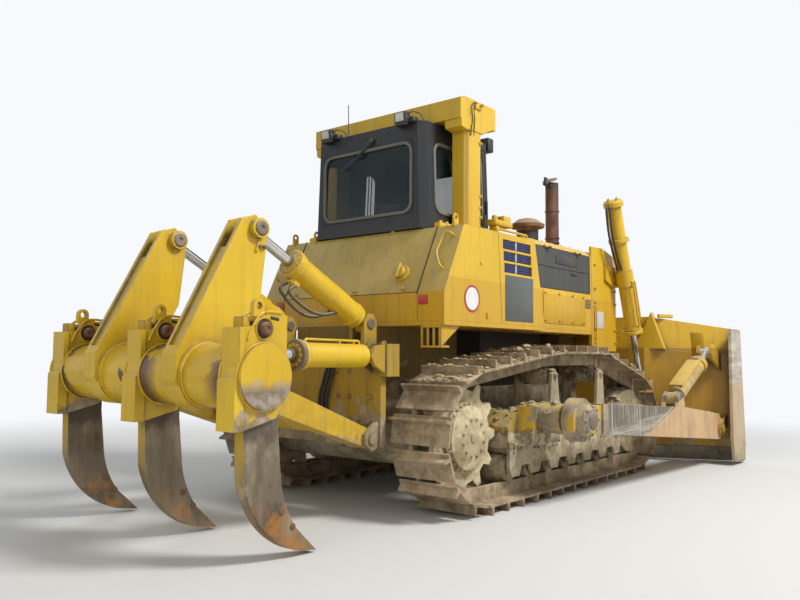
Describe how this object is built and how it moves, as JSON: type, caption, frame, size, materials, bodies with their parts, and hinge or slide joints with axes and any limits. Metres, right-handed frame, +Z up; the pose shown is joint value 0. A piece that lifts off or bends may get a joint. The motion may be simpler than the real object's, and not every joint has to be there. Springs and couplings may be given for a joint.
{
  "type": "crawler bulldozer with ripper",
  "caption": "Large crawler dozer with a semi-U blade on push arms, an enclosed cab under a roll-over frame and a parallelogram ripper with curved shanks.",
  "frame": {"origin": "on the ground under the middle of the machine's overall box", "axes": "+X forward to the blade, +Y to the machine's left, +Z up"},
  "size_m": [7.87, 4.3, 3.885],
  "materials": {
    "yellow_paint": "dusty, chipped at the edges",
    "engine_door_paint": "dusty satin",
    "cab_paint": "dusty satin",
    "track_steel": "caked with dried mud",
    "worn_steel": "scoured",
    "dark_steel": "greasy",
    "chrome": "polished",
    "rusty_steel": "rusty",
    "glass": "dusty",
    "seat_cloth": "worn",
    "lamp": "clear"
  },
  "bodies": {
    "machine": {"main_frame": "yellow_paint", "engine_block": "dark_steel", "deck": "yellow_paint", "fuel_tank": "yellow_paint", "side_boxes": "yellow_paint", "side_panels": "yellow_paint", "hood": "yellow_paint", "radiator_guard": "yellow_paint", "radiator_grille": "cab_paint", "radiator_core": "dark_steel", "exhaust_stack": "rusty_steel", "pre_cleaner": "rusty_steel", "cab_shell": "cab_paint", "cab_glass": "glass", "seat": "seat_cloth", "roll_over_frame": "yellow_paint", "rear_lamps": "lamp", "track_right": "track_steel", "track_left": "track_steel", "track_frame_right": "yellow_paint", "track_frame_left": "yellow_paint", "sprocket_right": "yellow_paint", "sprocket_left": "yellow_paint", "idler_right": "worn_steel", "idler_left": "worn_steel", "rollers_right": "worn_steel", "rollers_left": "worn_steel", "equalizer_bar": "yellow_paint", "ripper_support": "yellow_paint"},
    "cab_door_right": {"cab_door_right": "cab_paint"},
    "cab_door_left": {"cab_door_left": "cab_paint"},
    "engine_door_right": {"engine_door_right": "engine_door_paint"},
    "engine_door_left": {"engine_door_left": "engine_door_paint"},
    "push_arms": {"push_arm_right": "yellow_paint", "push_arm_left": "yellow_paint"},
    "blade": {"blade": "yellow_paint", "cutting_edge": "worn_steel"},
    "lift_barrels": {"blade_lift_barrels": "yellow_paint"},
    "lift_rods": {"blade_lift_rods": "chrome"},
    "brace_barrels": {"brace_barrels": "yellow_paint"},
    "brace_rods": {"brace_rods": "chrome"},
    "ripper_arm": {"ripper_arm": "yellow_paint"},
    "ripper_pins": {"ripper_pins": "dark_steel"},
    "ripper_beam": {"ripper_beam": "yellow_paint", "shanks": "worn_steel"},
    "ripper_base_pins": {"ripper_base_pins": "dark_steel"},
    "ripper_tilt_barrels": {"ripper_tilt_barrels": "yellow_paint"},
    "ripper_tilt_rods": {"ripper_tilt_rods": "chrome"},
    "ripper_lift_barrels": {"ripper_lift_barrels": "yellow_paint"},
    "ripper_lift_rods": {"ripper_lift_rods": "chrome"}
  },
  "joints": [
    {"name": "blade_lift", "type": "hinge", "parent": "machine", "child": "push_arms", "pos_m": [-0.415, 0, 0.8], "axis": [0, -1, 0], "range_deg": [-8.5, 12]},
    {"name": "blade_pitch", "type": "hinge", "parent": "push_arms", "child": "blade", "pos_m": [3.275, 0, 0.48], "axis": [0, -1, 0], "range_deg": [-4, 4]},
    {"name": "lift_barrel_swing", "type": "hinge", "parent": "machine", "child": "lift_barrels", "pos_m": [2.43, 0, 2.385], "axis": [0, 1, 0], "range_deg": [-8.99, 6.51]},
    {"name": "lift_rod_slide", "type": "slide", "parent": "lift_barrels", "child": "lift_rods", "axis": [0.339, 0, -0.9408], "range_m": [-0.67729, 0.48033]},
    {"name": "brace_barrel_swing", "type": "hinge", "parent": "push_arms", "child": "brace_barrels", "pos_m": [1.975, 0, 0.9], "axis": [0, 1, 0], "range_deg": [-1.43, 1.43]},
    {"name": "brace_rod_slide", "type": "slide", "parent": "brace_barrels", "child": "brace_rods", "axis": [0.9132, 0, 0.4075], "range_m": [-0.06574, 0.06574]},
    {"name": "ripper_lift", "type": "hinge", "parent": "machine", "child": "ripper_arm", "pos_m": [-2.085, 0, 0.68], "axis": [0, 1, 0], "range_deg": [-25, 20]},
    {"name": "ripper_level", "type": "hinge", "parent": "ripper_arm", "child": "ripper_pins", "pos_m": [-3.335, 0, 1.12], "axis": [0, 1, 0], "range_deg": [-17.17, 21.34]},
    {"name": "ripper_tilt", "type": "hinge", "parent": "ripper_pins", "child": "ripper_beam", "pos_m": [-3.335, 0, 1.12], "axis": [0, 1, 0], "range_deg": [-10, 10]},
    {"name": "ripper_base_swing", "type": "hinge", "parent": "machine", "child": "ripper_base_pins", "pos_m": [-1.915, 0, 1.66], "axis": [0, 1, 0], "range_deg": [-23.93, 19.24]},
    {"name": "ripper_tilt_swing", "type": "hinge", "parent": "ripper_base_pins", "child": "ripper_tilt_barrels", "pos_m": [-1.915, 0, 1.66], "axis": [0, 1, 0], "range_deg": [-3.58, 3.58]},
    {"name": "ripper_tilt_slide", "type": "slide", "parent": "ripper_tilt_barrels", "child": "ripper_tilt_rods", "axis": [-0.8882, 0, 0.4594], "range_m": [-0.19935, 0.19935]},
    {"name": "ripper_ram_swing", "type": "hinge", "parent": "machine", "child": "ripper_lift_barrels", "pos_m": [-2.115, 0, 1.375], "axis": [0, 1, 0], "range_deg": [-27.11, 21.79]},
    {"name": "ripper_ram_slide", "type": "slide", "parent": "ripper_lift_barrels", "child": "ripper_lift_rods", "axis": [-1, 0, 0.0088], "range_m": [-0.16549, 0.20636]},
    {"name": "cab_door_right_hinge", "type": "hinge", "parent": "machine", "child": "cab_door_right", "pos_m": [-0.625, -0.74998, 3], "axis": [0, -0.0364, -0.9993], "range_deg": [0, 80]},
    {"name": "cab_door_left_hinge", "type": "hinge", "parent": "machine", "child": "cab_door_left", "pos_m": [-0.625, 0.74998, 3], "axis": [0, -0.0364, 0.9993], "range_deg": [0, 80]},
    {"name": "engine_door_right_hinge", "type": "hinge", "parent": "machine", "child": "engine_door_right", "pos_m": [0.9, -0.984, 2.606], "axis": [-1, 0, 0], "range_deg": [0, 80]},
    {"name": "engine_door_left_hinge", "type": "hinge", "parent": "machine", "child": "engine_door_left", "pos_m": [0.9, 0.984, 2.606], "axis": [1, 0, 0], "range_deg": [0, 80]}
  ],
  "couplings": [
    {"joint": "lift_barrel_swing", "follows": "blade_lift", "ratio": -0.7074},
    {"joint": "lift_rod_slide", "follows": "blade_lift", "m_per_rad": -3.2243},
    {"joint": "brace_barrel_swing", "follows": "blade_pitch", "ratio": -0.23256},
    {"joint": "brace_rod_slide", "follows": "blade_pitch", "m_per_rad": -0.91301},
    {"joint": "ripper_level", "follows": "ripper_lift", "ratio": -0.83338},
    {"joint": "ripper_base_swing", "follows": "ripper_lift", "ratio": 0.93721},
    {"joint": "ripper_ram_swing", "follows": "ripper_lift", "ratio": 1.0643},
    {"joint": "ripper_ram_slide", "follows": "ripper_lift", "m_per_rad": -0.46836},
    {"joint": "ripper_tilt_swing", "follows": "ripper_tilt", "ratio": 0.30798},
    {"joint": "ripper_tilt_slide", "follows": "ripper_tilt", "m_per_rad": -1.1307}
  ]
}
